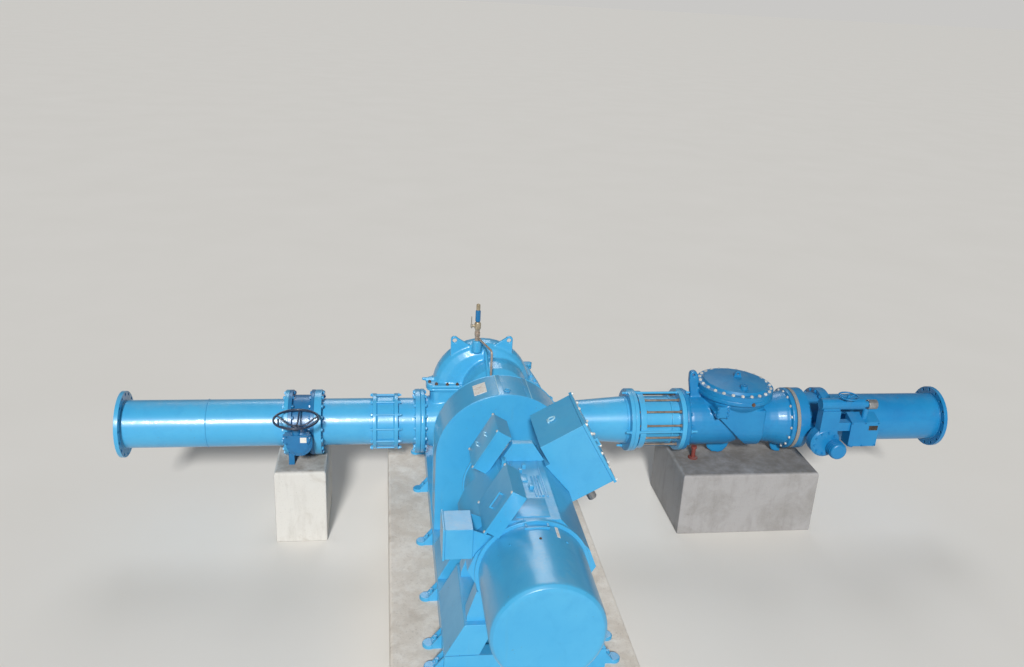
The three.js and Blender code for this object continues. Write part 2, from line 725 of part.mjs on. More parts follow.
add("actuator_housing", actuatorHousing(), DEEP_BLUE);
add("actuator_motor", actuatorMotor(), DEEP_BLUE);
add("actuator_control_box", controlBox(), DEEP_BLUE);
add("actuator_cap", controlCap(), STEEL, 0.3, 1);
add("actuator_handwheel", actuatorWheel(), DEEP_BLUE);
add("discharge_outlet_pipe", outletPipe(), DEEP_BLUE);

export default part;
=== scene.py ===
import json
import math
import bmesh
import bpy
from mathutils import Matrix, Vector


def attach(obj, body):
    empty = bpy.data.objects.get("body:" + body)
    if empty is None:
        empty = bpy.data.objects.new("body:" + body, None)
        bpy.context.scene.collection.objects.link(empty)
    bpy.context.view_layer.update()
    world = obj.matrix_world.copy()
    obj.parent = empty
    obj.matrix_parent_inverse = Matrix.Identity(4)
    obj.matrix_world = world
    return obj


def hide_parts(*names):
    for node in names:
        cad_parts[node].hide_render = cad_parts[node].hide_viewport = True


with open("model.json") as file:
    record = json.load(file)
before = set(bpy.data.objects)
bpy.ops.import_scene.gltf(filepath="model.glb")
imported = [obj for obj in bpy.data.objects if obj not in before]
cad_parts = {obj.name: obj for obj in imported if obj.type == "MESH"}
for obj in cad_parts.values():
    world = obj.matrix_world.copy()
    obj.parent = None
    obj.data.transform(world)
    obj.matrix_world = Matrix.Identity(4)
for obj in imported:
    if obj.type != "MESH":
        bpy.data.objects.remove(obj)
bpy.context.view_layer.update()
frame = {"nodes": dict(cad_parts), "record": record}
bodyOf = {node: body for body, members in frame["record"]["behaviour"]["bodies"].items() for node in members}
scene = bpy.context.scene
print("frame loaded:", len(frame["nodes"]), "solids")

suctionZ = 0.965      # height of the suction line's centre, in metres as every length is
dischargeZ = 0.951    # height of the discharge line's centre
shaftZ = 1.280        # height of the pump's and the motor's shaft


# camera, light and floor

cameraSettings = {
    "place": (-0.9036, -7.3165, 4.5644),
    "turn": (69.427, -2.914, -7.526),     # degrees, Euler XYZ
    "lens": 32.02, "sensor": 36,          # millimetres
    "farthest": 900,
}

lightSettings = {     # a lamp's size is the angle that it takes up, in degrees
    "front": {"at": (-1.7, -12.2, 8.2), "towards": (0.2, -0.6, 1.0), "size": 8, "power": 3.3,
              "colour": (1.0, 0.985, 0.96)},
    "roof": {"at": (0.8, 7.0, 7.2), "towards": (0.3, -0.4, 0.8), "size": 24, "power": 0.62,
             "colour": (0.93, 0.96, 1.0)},
    "sky": {"colour": (0.94, 0.96, 1.0), "strength": 0.13, "backdrop": (0.585, 0.578, 0.565)},
}


def makeCamera():
    data = bpy.data.cameras.new("hallCamera")
    data.lens = cameraSettings["lens"]
    data.sensor_width = cameraSettings["sensor"]
    data.clip_end = cameraSettings["farthest"]
    camera = bpy.data.objects.new("hallCamera", data)
    camera.location = cameraSettings["place"]
    camera.rotation_euler = [math.radians(angle) for angle in cameraSettings["turn"]]
    scene.collection.objects.link(camera)
    scene.camera = camera


def makeLight(name):
    values = lightSettings[name]
    data = bpy.data.lights.new(name, "SUN")      # a wide, even lamp, so that the floor has one tone
    data.energy = values["power"]
    data.angle = math.radians(values["size"])
    data.color = values["colour"]
    light = bpy.data.objects.new(name, data)
    light.location = values["at"]
    aim = Vector(values["towards"]) - Vector(values["at"])
    light.rotation_euler = aim.to_track_quat("-Z", "Y").to_euler()
    scene.collection.objects.link(light)


def makeSky():
    world = bpy.data.worlds.new("hallAir")
    world.use_nodes = True
    nodes, values = world.node_tree.nodes, lightSettings["sky"]
    glow = nodes["Background"]
    glow.inputs["Color"].default_value = (*values["colour"], 1)
    glow.inputs["Strength"].default_value = values["strength"]
    backdrop = nodes.new("ShaderNodeBackground")      # what shows past the floor, in the floor's tone
    backdrop.inputs["Color"].default_value = (*values["backdrop"], 1)
    either = nodes.new("ShaderNodeMixShader")
    join = world.node_tree.links.new
    join(nodes.new("ShaderNodeLightPath").outputs["Is Camera Ray"], either.inputs[0])
    join(glow.outputs[0], either.inputs[1])
    join(backdrop.outputs[0], either.inputs[2])
    join(either.outputs[0], nodes["World Output"].inputs["Surface"])
    scene.world = world
    scene.view_settings.view_transform = "Standard"


# small tools for materials

def linear(code):      # a hex colour as the shader's sockets want it
    channels = [int(code[i:i + 2], 16) / 255 for i in (0, 2, 4)]
    return (*[c / 12.92 if c <= 0.04045 else ((c + 0.055) / 1.055) ** 2.4 for c in channels], 1)


class Finish:      # the node tree of one finish, with short calls for what every finish uses
    def __init__(self, name):
        self.material = bpy.data.materials.new(name)
        self.material.use_nodes = True
        self.tree = self.material.node_tree
        self.tree.nodes.clear()
        self.shader = self.tree.nodes.new("ShaderNodeBsdfPrincipled")
        output = self.tree.nodes.new("ShaderNodeOutputMaterial")
        self.link(self.shader.outputs[0], output.inputs[0])
        self.place = self.tree.nodes.new("ShaderNodeTexCoord").outputs["Object"]

    def link(self, source, target):
        self.tree.links.new(source, target)

    def feed(self, socket, value):      # a plain value goes on the socket itself, a node's output is linked
        if isinstance(value, (int, float, tuple)):
            socket.default_value = value
        else:
            self.link(value, socket)

    def stretched(self, scale):
        node = self.tree.nodes.new("ShaderNodeMapping")
        node.inputs["Scale"].default_value = scale
        self.link(self.place, node.inputs["Vector"])
        return node.outputs[0]

    def noise(self, scale, detail=4, roughness=0.55, at=None, distortion=0.0):
        node = self.tree.nodes.new("ShaderNodeTexNoise")
        node.inputs["Scale"].default_value = scale
        node.inputs["Detail"].default_value = detail
        node.inputs["Roughness"].default_value = roughness
        node.inputs["Distortion"].default_value = distortion
        self.link(at or self.place, node.inputs["Vector"])
        return node.outputs["Fac"]

    def steps(self, factor, low, high):      # low becomes 0 and high becomes 1
        node = self.tree.nodes.new("ShaderNodeMapRange")
        node.inputs["From Min"].default_value = low
        node.inputs["From Max"].default_value = high
        self.link(factor, node.inputs["Value"])
        return node.outputs["Result"]

    def between(self, factor, low, high):
        node = self.tree.nodes.new("ShaderNodeMapRange")
        node.inputs["To Min"].default_value = low
        node.inputs["To Max"].default_value = high
        self.link(factor, node.inputs["Value"])
        return node.outputs["Result"]

    def times(self, first, second):
        node = self.tree.nodes.new("ShaderNodeMath")
        node.operation = "MULTIPLY"
        self.feed(node.inputs[0], first)
        self.feed(node.inputs[1], second)
        return node.outputs[0]

    def mixed(self, factor, first, second):
        node = self.tree.nodes.new("ShaderNodeMix")
        node.data_type = "RGBA"
        self.link(factor, node.inputs[0])
        for socket, value in zip([s for s in node.inputs if s.type == "RGBA"], (first, second)):
            self.feed(socket, value)
        return [s for s in node.outputs if s.type == "RGBA"][0]

    def upward(self, slope=0.82):      # 1 on faces that look up, 0 on walls and where the normal's Z is under slope
        shape = self.tree.nodes.new("ShaderNodeNewGeometry")
        split = self.tree.nodes.new("ShaderNodeSeparateXYZ")
        self.link(shape.outputs["Normal"], split.inputs[0])
        return self.steps(split.outputs["Z"], slope, 1.0)

    def bump(self, height, strength, distance, under=None):
        node = self.tree.nodes.new("ShaderNodeBump")
        node.inputs["Strength"].default_value = strength
        node.inputs["Distance"].default_value = distance
        self.link(height, node.inputs["Height"])
        if under is not None:
            self.link(under, node.inputs["Normal"])
        return node.outputs[0]

    def set(self, colour, roughness, normal, metallic=0.0):
        values = {"Base Color": colour, "Roughness": roughness, "Normal": normal, "Metallic": metallic}
        for name, value in values.items():
            self.feed(self.shader.inputs[name], value)
        return self.material


enamelSettings = {      # colours, roughness from and to, brush marks, where chips start, dust, gloss coat
    "skyEnamel": {"paint": "40a5d8", "faded": "4eaedc", "worn": "3395cd", "rough": (0.26, 0.42), "grain": 0.18,
                  "chips": 0.712, "dust": 0.30, "coat": 0.35},
    # a darker blue for the valves, the actuator and the outlet pipe: partly their own paint and partly painted shade,
    # the less lit far end of the line darkened in its colour
    "deepEnamel": {"paint": "127ab5", "faded": "2088be", "worn": "0e67a2", "rough": (0.30, 0.48), "grain": 0.35,
                   "chips": 0.70, "dust": 0.14, "coat": 0.16},
    "valveEnamel": {"paint": "1769a0", "faded": "2379ae", "worn": "145284", "rough": (0.30, 0.5), "grain": 0.5,
                    "chips": 0.69, "dust": 0.12, "coat": 0.16},
    # a pale blue that is painted highlight: it stands for the glint of light on the box handles, the lid ring and the
    # guard's seam edges
    "highlightEnamel": {"paint": "8ccbe6", "faded": "a6d6ea", "worn": "66b4dc", "rough": (0.25, 0.4), "grain": 0.1,
                     "chips": 0.69, "dust": 0.2, "coat": 0.4},
    "navyEnamel": {"paint": "1b2c46", "faded": "32465f", "worn": "10192a", "rough": (0.32, 0.5), "grain": 0.2,
                   "chips": 0.7, "dust": 0.2, "coat": 0.2},
    "darkRedPaint": {"paint": "74302c", "faded": "8d4a40", "worn": "4f201e", "rough": (0.5, 0.75), "grain": 0.6,
                     "chips": 0.66, "dust": 0.35, "coat": 0.0},
    "greyPaint": {"paint": "8a8479", "faded": "a19a8d", "worn": "5f5a52", "rough": (0.4, 0.6), "grain": 0.3,
                  "chips": 0.7, "dust": 0.3, "coat": 0.0},
}


markSettings = {      # on every enamel: how strong the marks are, and their colours
    "worn": 0.45, "dust": "b9bbb6", "streaks": 0.2, "streak": "6f8791", "chips": 0.85, "chip": "5d4436",
    "chipEdge": 0.012, "coatRoughness": 0.15,
}


def makeEnamel(name):
    values = enamelSettings[name]
    marks = markSettings
    finish = Finish(name)
    cloudy = finish.noise(1.7, 5, 0.6)
    blotches = finish.noise(9, 6, 0.65, distortion=0.6)
    colour = finish.mixed(finish.steps(cloudy, 0.35, 0.7), linear(values["paint"]), linear(values["faded"]))
    worn = finish.times(finish.steps(blotches, 0.5, 0.8), marks["worn"])
    colour = finish.mixed(worn, colour, linear(values["worn"]))
    dusty = finish.times(finish.upward(), finish.steps(finish.noise(5.5, 7, 0.7), 0.45, 0.78))
    colour = finish.mixed(finish.times(dusty, values["dust"]), colour, linear(marks["dust"]))
    streaks = finish.steps(finish.noise(4, 5, 0.6, at=finish.stretched((5, 5, 0.5))), 0.62, 0.88)
    colour = finish.mixed(finish.times(streaks, marks["streaks"]), colour, linear(marks["streak"]))
    start = values["chips"]
    flakes = finish.steps(finish.noise(38, 5, 0.62, distortion=0.4), start, start + marks["chipEdge"])
    colour = finish.mixed(finish.times(flakes, marks["chips"]), colour, linear(marks["chip"]))
    low, high = values["rough"]
    rough = finish.between(blotches, low, high)
    normal = finish.bump(finish.noise(140, 2, 0.5), values["grain"], 0.0009)      # brush marks
    normal = finish.bump(finish.noise(16, 4, 0.55), 0.16, 0.004, under=normal)      # uneven coats
    normal = finish.bump(flakes, 0.4, -0.0006, under=normal)
    gloss = finish.shader.inputs
    gloss["Coat Weight"].default_value = values["coat"]
    gloss["Coat Roughness"].default_value = marks["coatRoughness"]
    waves = finish.noise(11, 5, 0.6, distortion=0.5)
    finish.link(finish.bump(waves, 0.5, 0.006), gloss["Coat Normal"])
    return finish.set(colour, rough, normal)


concreteSettings = {      # colours, where the wash wears off, how strong the runs and the pores are
    "whitewash": {"wash": "ece5db", "bare": "bcae9f", "stain": "968b80", "top": "d2c6b8",
                  "worn": (0.50, 0.72), "runs": 0.35, "pores": 0.5},
    "blockWash": {"wash": "cfceca", "bare": "b9b5ae", "stain": "98938b", "top": "948b80",
                  "worn": (0.56, 0.74), "runs": 0.3, "pores": 0.5},
    "blockGrey": {"wash": "a09fa0", "bare": "8b8987", "stain": "74716e", "top": "716d68",
                  "worn": (0.46, 0.72), "runs": 0.4, "pores": 0.6},
}
speckleColour = "7d756b"


def makeConcrete(name):
    values = concreteSettings[name]
    finish = Finish(name)
    patches = finish.noise(3.2, 8, 0.68, distortion=0.5)
    trodden = finish.steps(patches, *values["worn"])
    colour = finish.mixed(trodden, linear(values["wash"]), linear(values["bare"]))
    runs = finish.steps(finish.noise(3.0, 6, 0.65, at=finish.stretched((4, 4, 0.8))), 0.5, 0.8)
    colour = finish.mixed(finish.times(runs, values["runs"]), colour, linear(values["stain"]))
    grime = finish.times(finish.upward(), finish.steps(finish.noise(6, 7, 0.7), 0.3, 0.6))
    colour = finish.mixed(finish.times(grime, 0.8), colour, linear(values["top"]))
    speckle = finish.steps(finish.noise(75, 4, 0.6), 0.6, 0.72)
    colour = finish.mixed(finish.times(speckle, 0.35), colour, linear(speckleColour))
    pores = finish.steps(finish.noise(48, 6, 0.7), 0.58, 0.7)
    normal = finish.bump(finish.noise(22, 8, 0.65), values["pores"], 0.006)
    normal = finish.bump(pores, 0.5, -0.003, under=normal)
    normal = finish.bump(trodden, 0.35, -0.0015, under=normal)
    return finish.set(colour, finish.between(patches, 0.78, 0.95), normal)


metalSettings = {      # colours, roughness from and to, how much is bare metal, how the marks are stretched
    "bareSteel": {"colour": "a9abad", "dull": "6f7072", "rough": (0.28, 0.5), "metal": 0.7, "lines": (6, 6, 90)},
    "zincBolt": {"colour": "dcddda", "dull": "aaa79f", "rough": (0.4, 0.65), "metal": 0.2, "lines": (40, 40, 40)},
    "tieBar": {"colour": "8b8178", "dull": "5e5148", "rough": (0.45, 0.7), "metal": 0.3, "lines": (90, 20, 20)},
    "rustyBolt": {"colour": "6f5544", "dull": "4c382c", "rough": (0.6, 0.85), "metal": 0.1, "lines": (60, 60, 60)},
    "copperPipe": {"colour": "b8aa9c", "dull": "8a7b6e", "rough": (0.3, 0.5), "metal": 0.3, "lines": (30, 30, 8)},
    "dullBrass": {"colour": "b5a78d", "dull": "87785e", "rough": (0.3, 0.5), "metal": 0.35, "lines": (30, 30, 30)},
}
pitColour = "4e4136"


def makeMetal(name):
    values = metalSettings[name]
    finish = Finish(name)
    tarnish = finish.noise(14, 6, 0.6)
    lines = finish.noise(8, 3, 0.5, at=finish.stretched(values["lines"]))
    colour = finish.mixed(finish.steps(tarnish, 0.4, 0.75), linear(values["colour"]), linear(values["dull"]))
    pits = finish.steps(finish.noise(90, 4), 0.62, 0.75)
    colour = finish.mixed(finish.times(pits, 0.4), colour, linear(pitColour))
    low, high = values["rough"]
    return finish.set(colour, finish.between(tarnish, low, high), finish.bump(lines, 0.12, 0.0006), values["metal"])


plainColours = {      # the finishes that are used once
    "gasketSheet": ("9c9a95", "797671", "6f8a9c"), "blankPlate": ("e8e7e1", "b59a80"),
    "darkGlass": ("2b2622", "4d443b"), "paleFloor": ("e6e4e0", "e0ded9"),
}


def makeGasketSheet():
    finish = Finish("gasketSheet")
    sheet, dull, smear = map(linear, plainColours["gasketSheet"])
    fibres = finish.noise(60, 6, 0.7, at=finish.stretched((1, 1, 4)))
    colour = finish.mixed(finish.steps(fibres, 0.35, 0.7), sheet, dull)
    colour = finish.mixed(finish.times(finish.steps(finish.noise(7, 5), 0.5, 0.8), 0.5), colour, smear)
    return finish.set(colour, 0.85, finish.bump(fibres, 0.5, 0.0015))


def makePlateFinish():
    finish = Finish("blankPlate")
    plate, dirt = map(linear, plainColours["blankPlate"])
    smears = finish.noise(26, 6, 0.7, at=finish.stretched((1, 3, 1)))
    colour = finish.mixed(finish.steps(smears, 0.52, 0.72), plate, dirt)
    return finish.set(colour, finish.between(smears, 0.35, 0.6), finish.bump(smears, 0.15, 0.0005), 0.15)


def makeDarkGlass():
    finish = Finish("darkGlass")
    glass, dirt = map(linear, plainColours["darkGlass"])
    grime = finish.noise(40, 5, 0.6)
    colour = finish.mixed(finish.steps(grime, 0.45, 0.8), glass, dirt)
    return finish.set(colour, finish.between(grime, 0.12, 0.4), finish.bump(grime, 0.05, 0.0004))


def makeFloorFinish():
    finish = Finish("paleFloor")
    pale, cloud = map(linear, plainColours["paleFloor"])
    colour = finish.mixed(finish.noise(0.6, 3), pale, cloud)
    return finish.set(colour, 0.9, finish.bump(finish.noise(30, 3), 0.05, 0.002))


floorReach = 400      # from the middle to each edge, so that its end is far off


def makeFloor():
    mesh = bpy.data.meshes.new("hallFloor")
    corners = [(x * floorReach, y * floorReach, 0) for x, y in ((-1, -1), (1, -1), (1, 1), (-1, 1))]
    mesh.from_pydata(corners, [], [(0, 1, 2, 3)])
    floor = bpy.data.objects.new("hallFloor", mesh)
    floor.data.materials.append(paints["paleFloor"])
    scene.collection.objects.link(floor)


paints = {name: makeEnamel(name) for name in enamelSettings}
paints.update({name: makeConcrete(name) for name in concreteSettings})
paints.update({name: makeMetal(name) for name in metalSettings})
paints["gasketSheet"] = makeGasketSheet()
paints["blankPlate"] = makePlateFinish()
paints["darkGlass"] = makeDarkGlass()
paints["paleFloor"] = makeFloorFinish()
makeCamera()
makeSky()
makeLight("front")
makeLight("roof")
makeFloor()
print("camera, light, floor and", len(paints), "finishes made")


# small tools for meshes

meshSettings = {
    "merge": 0.00004,      # corners of a solid this near are one
    "seam": 0.00002,       # and so are those of a turned shape
    "flat": 0.6,           # degrees between triangles that count as one flat face
}


def keep(name, mesh, paint, body="pump_set", stands=()):      # a finished mesh as a piece, which stands for nodes
    mesh.materials.clear()
    mesh.materials.append(paints[paint])
    piece = bpy.data.objects.new(name, mesh)
    scene.collection.objects.link(piece)
    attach(piece, body)
    if stands:
        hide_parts(*stands)


def baked(obj):      # the evaluated mesh of an object, which is then removed
    bpy.context.view_layer.update()
    seen = obj.evaluated_get(bpy.context.evaluated_depsgraph_get())
    mesh = bpy.data.meshes.new_from_object(seen)
    bpy.data.objects.remove(obj)
    return mesh


def finished(shape, name):      # the mesh of a bmesh, which is then freed
    mesh = bpy.data.meshes.new(name)
    shape.to_mesh(mesh)
    shape.free()
    return mesh


def shade(mesh, smooth):
    mesh.polygons.foreach_set("use_smooth", [smooth] * len(mesh.polygons))


def smoothed(mesh, angle):      # shaded smooth, but sharp where faces meet at more than angle degrees
    shade(mesh, True)
    mesh.set_sharp_from_angle(angle=math.radians(angle))
    return mesh


def gathered(name, meshes):      # one mesh out of several
    together = bmesh.new()
    for mesh in meshes:
        together.from_mesh(mesh)
    return finished(together, name)


def mergedCopy(node, flat=True):      # a CAD solid's mesh, its triangles joined and its flat faces made one
    shape = bmesh.new()
    shape.from_mesh(frame["nodes"][node].data)
    bmesh.ops.remove_doubles(shape, verts=shape.verts, dist=meshSettings["merge"])
    if flat:
        limit = math.radians(meshSettings["flat"])
        bmesh.ops.dissolve_limit(shape, angle_limit=limit, verts=shape.verts, edges=shape.edges)
    return finished(shape, node + "Shape")


def lathe(profile, segments, closed=False):      # turned round Z from (radius, height) points
    shape = bmesh.new()
    points = [shape.verts.new((r, 0, h)) for r, h in profile]
    edges = [shape.edges.new(pair) for pair in zip(points, points[1:])]
    if closed:
        edges.append(shape.edges.new((points[-1], points[0])))
    bmesh.ops.spin(shape, geom=points + edges, axis=(0, 0, 1), cent=(0, 0, 0), steps=segments, angle=math.tau)
    bmesh.ops.remove_doubles(shape, verts=shape.verts, dist=meshSettings["seam"])
    bmesh.ops.recalc_face_normals(shape, faces=shape.faces)
    return finished(shape, "turned")


def facing(at, direction, side=None):      # puts a shape's Z along direction and its X along side
    z = Vector(direction).normalized()
    x = Vector(side) if side else (Vector((1, 0, 0)) if abs(z.x) < 0.9 else Vector((0, -1, 0)))
    x = (x - z * x.dot(z)).normalized()
    y = z.cross(x)
    place = Matrix((x, y, z)).transposed().to_4x4()
    place.translation = Vector(at)
    return place


def moved(mesh, place):
    mesh.transform(place)
    return mesh


def rod(radius, height):      # a plain round bar on Z
    return lathe([(0, 0), (radius, 0), (radius, height), (0, height)], 24)


def slab(low, high, bevel=0.002, place=None):      # a box with broken edges
    shape = bmesh.new()
    bmesh.ops.create_cube(shape, size=1)
    size = Vector(high) - Vector(low)
    bmesh.ops.scale(shape, vec=size, verts=shape.verts)
    bmesh.ops.translate(shape, vec=(Vector(high) + Vector(low)) / 2, verts=shape.verts)
    width = min(bevel, 0.45 * min(size))
    bmesh.ops.bevel(shape, geom=shape.edges[:], offset=width, segments=2, profile=0.6, affect="EDGES")
    mesh = finished(shape, "slab")
    if place:
        mesh.transform(place)
    return mesh


def tube(points, radius, sides=12, cyclic=False):      # a round bar along points
    curve = bpy.data.curves.new("bar", "CURVE")
    curve.dimensions = "3D"
    curve.bevel_depth = radius
    curve.bevel_resolution = max(2, sides // 4)
    curve.use_fill_caps = True
    spline = curve.splines.new("POLY")
    spline.points.add(len(points) - 1)
    for knot, point in zip(spline.points, points):
        knot.co = (*point, 1)
    spline.use_cyclic_u = cyclic
    holder = bpy.data.objects.new("bar", curve)
    scene.collection.objects.link(holder)
    return smoothed(baked(holder), 50)


def rounded(points, reach, steps=5):      # the same line with its corners curved
    corners = [Vector(p) for p in points]
    line = [corners[0]]
    for before, here, after in zip(corners, corners[1:], corners[2:]):
        start = here + (before - here).normalized() * reach
        end = here + (after - here).normalized() * reach
        for i in range(steps + 1):
            t = i / steps
            line.append(start * (1 - t) ** 2 + here * 2 * t * (1 - t) + end * t ** 2)
    return [tuple(p) for p in line + [corners[-1]]]


# geometry nodes for bolts

sixthTurn = 1.05      # radians, after which a hexagon looks the same


def addSocket(tree, name, kind, value=None, out=False):
    socket = tree.interface.new_socket(name=name, in_out="OUTPUT" if out else "INPUT", socket_type=kind)
    if value is not None:
        socket.default_value = value
    return socket


def addCylinder(tree, radius, depth, sides, lift):      # it stands on lift, with its sizes from sockets
    shape = tree.nodes.new("GeometryNodeMeshCylinder")
    shape.inputs["Vertices"].default_value = sides
    tree.links.new(radius, shape.inputs["Radius"])
    tree.links.new(depth, shape.inputs["Depth"])
    half = tree.nodes.new("ShaderNodeMath")
    half.operation = "MULTIPLY_ADD"
    tree.links.new(depth, half.inputs[0])
    half.inputs[1].default_value = 0.5
    half.inputs[2].default_value = lift
    offset = tree.nodes.new("ShaderNodeCombineXYZ")
    tree.links.new(half.outputs[0], offset.inputs["Z"])
    move = tree.nodes.new("GeometryNodeTransform")
    tree.links.new(shape.outputs["Mesh"], move.inputs["Geometry"])
    tree.links.new(offset.outputs[0], move.inputs["Translation"])
    return move.outputs[0]


def makeBoltTree():      # a hexagon nut with its stud and washer on every point of the mesh
    tree = bpy.data.node_groups.new("boltsOnPoints", "GeometryNodeTree")
    addSocket(tree, "Geometry", "NodeSocketGeometry", out=True)
    addSocket(tree, "Geometry", "NodeSocketGeometry")
    sizes = {"Nut Radius": 0.022, "Nut Height": 0.02, "Stud Radius": 0.012, "Stud Length": 0.03,
             "Washer Radius": 0.026, "Washer Height": 0.003}
    for name, value in sizes.items():
        addSocket(tree, name, "NodeSocketFloat", value)
    addSocket(tree, "Seed", "NodeSocketInt", 1)
    addSocket(tree, "Material", "NodeSocketMaterial")
    source = tree.nodes.new("NodeGroupInput").outputs
    nut = addCylinder(tree, source["Nut Radius"], source["Nut Height"], 6, 0.001)
    stud = addCylinder(tree, source["Stud Radius"], source["Stud Length"], 10, 0.0)
    washer = addCylinder(tree, source["Washer Radius"], source["Washer Height"], 16, 0.0)
    together = tree.nodes.new("GeometryNodeJoinGeometry")
    for shape in (nut, stud, washer):
        tree.links.new(shape, together.inputs[0])
    turn = tree.nodes.new("FunctionNodeRandomValue")
    turn.data_type = "FLOAT_VECTOR"
    turn.inputs["Min"].default_value = (0, 0, 0)
    turn.inputs["Max"].default_value = (0, 0, sixthTurn)
    tree.links.new(source["Seed"], turn.inputs["Seed"])
    scatter = tree.nodes.new("GeometryNodeInstanceOnPoints")
    tree.links.new(source["Geometry"], scatter.inputs["Points"])
    tree.links.new(together.outputs[0], scatter.inputs["Instance"])
    tree.links.new(turn.outputs["Value"], scatter.inputs["Rotation"])
    solid = tree.nodes.new("GeometryNodeRealizeInstances")
    tree.links.new(scatter.outputs[0], solid.inputs[0])
    colour = tree.nodes.new("GeometryNodeSetMaterial")
    tree.links.new(solid.outputs[0], colour.inputs["Geometry"])
    tree.links.new(source["Material"], colour.inputs["Material"])
    sink = tree.nodes.new("NodeGroupOutput")
    tree.links.new(colour.outputs[0], sink.inputs[0])
    return tree


boltTree = makeBoltTree()
boltMeasures = ("Nut Radius", "Nut Height", "Stud Radius", "Stud Length", "Washer Radius")
boltSizes = {     # the five measures of each size of bolt
    "flange": (0.0165, 0.011, 0.009, 0.016, 0.018),
    "gasket": (0.0125, 0.009, 0.007, 0.013, 0.014),
    "small": (0.011, 0.009, 0.006, 0.013, 0.0125),
    "screw": (0.0075, 0.005, 0.004, 0.006, 0.0085),
    "cover": (0.0155, 0.012, 0.008, 0.017, 0.017),
    "casing": (0.0135, 0.012, 0.0075, 0.019, 0.015),
    "anchor": (0.0225, 0.020, 0.012, 0.052, 0.030),
    "tie": (0.0145, 0.013, 0.009, 0.022, 0.0165),
}


def bolts(points, place, size, paint, seed=1):      # one on each (x, y) point, standing along the place's Z
    mesh = bpy.data.meshes.new("boltPoints")
    mesh.from_pydata([(x, y, 0) for x, y in points], [], [])
    holder = bpy.data.objects.new("boltPoints", mesh)
    scene.collection.objects.link(holder)
    modifier = holder.modifiers.new("bolts", "NODES")
    modifier.node_group = boltTree
    values = {**dict(zip(boltMeasures, boltSizes[size])), "Seed": seed, "Material": paints[paint]}
    for item in boltTree.interface.items_tree:
        if item.in_out == "INPUT" and item.name in values:
            modifier[item.identifier] = values[item.name]
    return moved(baked(holder), place)


def circle(count, radius, start=0.0):
    turns = [math.radians(start) + math.tau * i / count for i in range(count)]
    return [(radius * math.cos(t), radius * math.sin(t)) for t in turns]


def makeScrews(name, settings, more=()):      # a piece out of groups of bolts, each a size, a place and points
    paint, seed, groups = settings[name]
    heads = [bolts(points, place, size, paint, seed) for size, place, points in groups]
    keep(name, smoothed(gathered(name, [*heads, *more]), 30), paint)


print("tools ready")


# the CAD solids, with softened edges and a finish each

edgeSettings = {"segments": 2, "angle": 28}      # rounded where faces meet at more than these degrees
softEdges = {     # node: (paint, width of the round edge)
    "plinth": ("whitewash", 0.010), "suction_support_block": ("blockWash", 0.012),
    "discharge_support_block": ("blockGrey", 0.012),
    "base_frame": ("skyEnamel", 0), "motor_pedestal_rear": ("skyEnamel", 0.005),
    "motor_pedestal_drive": ("skyEnamel", 0.005), "motor_frame": ("skyEnamel", 0.010),
    "motor_drive_endshield": ("skyEnamel", 0.004), "motor_shaft": ("bareSteel", 0.001),
    "motor_rear_flange": ("skyEnamel", 0.003), "motor_fan_cowl": ("skyEnamel", 0.003),
    "motor_top_housing": ("skyEnamel", 0.004), "main_terminal_box": ("skyEnamel", 0.003),
    "main_terminal_cover": ("skyEnamel", 0.003), "aux_box_drive_end": ("skyEnamel", 0.003),
    "aux_box_rear": ("skyEnamel", 0.003), "side_junction_box": ("skyEnamel", 0.003),
    "cable_glands": ("bareSteel", 0.001), "flywheel_guard": ("skyEnamel", 0.006),
    "guard_plate": ("blankPlate", 0.0008), "bearing_housing_drive": ("skyEnamel", 0.005),
    "bearing_housing_free": ("skyEnamel", 0.005), "pump_shaft_drive": ("bareSteel", 0.001),
    "pump_shaft_near_seal": ("bareSteel", 0.001), "pump_shaft_far_seal": ("bareSteel", 0.001),
    "vent_cock": ("dullBrass", 0.002), "vent_cock_lever": ("greyPaint", 0.001),
    "vent_receiver": ("valveEnamel", 0.002), "vent_cap": ("dullBrass", 0.001),
    "suction_inlet_pipe": ("skyEnamel", 0.003), "suction_valve_body": ("valveEnamel", 0.004),
    "suction_valve_disc": ("bareSteel", 0.002), "suction_valve_gearbox": ("valveEnamel", 0.006),
    "suction_gearbox_plate": ("blankPlate", 0.0004), "suction_spool": ("skyEnamel", 0.003),
    "suction_coupling_sleeve": ("skyEnamel", 0.004), "suction_pump_spool": ("skyEnamel", 0.003),
    "discharge_reducer": ("skyEnamel", 0.003), "dismantling_joint_body": ("skyEnamel", 0.004),
    "dismantling_joint_spigot": ("skyEnamel", 0.003), "check_valve_cover": ("deepEnamel", 0.004),
    "check_valve_jack": ("darkRedPaint", 0.001), "discharge_gasket": ("gasketSheet", 0.002),
    "discharge_valve_body": ("deepEnamel", 0.004), "discharge_valve_disc": ("bareSteel", 0.002),
    "actuator_gearbox": ("deepEnamel", 0.008), "actuator_housing": ("deepEnamel", 0.004),
    "actuator_motor": ("deepEnamel", 0.006), "actuator_control_box": ("deepEnamel", 0.006),
    "actuator_cap": ("bareSteel", 0.004), "discharge_outlet_pipe": ("deepEnamel", 0.003),
}


flangeHoles = {     # the bolt holes of the two loose end flanges
    "count": 16, "circle": 0.2575, "start": 11.25, "radius": 0.0135,
    "ends": {"suction_inlet_pipe": (-3.096, -3.052, suctionZ), "discharge_outlet_pipe": (4.275, 4.319, dischargeZ)},
}


def drillFor(node):      # the rods that are cut out of an end flange
    near, far, height = flangeHoles["ends"][node]
    bar = rod(flangeHoles["radius"], far - near)
    spots = circle(flangeHoles["count"], flangeHoles["circle"], flangeHoles["start"])
    rods = [moved(bar.copy(), facing((near, a, height + b), (1, 0, 0))) for a, b in spots]
    drill = bpy.data.objects.new(node + "Drill", gathered(node + "Drill", rods))
    scene.collection.objects.link(drill)
    return drill


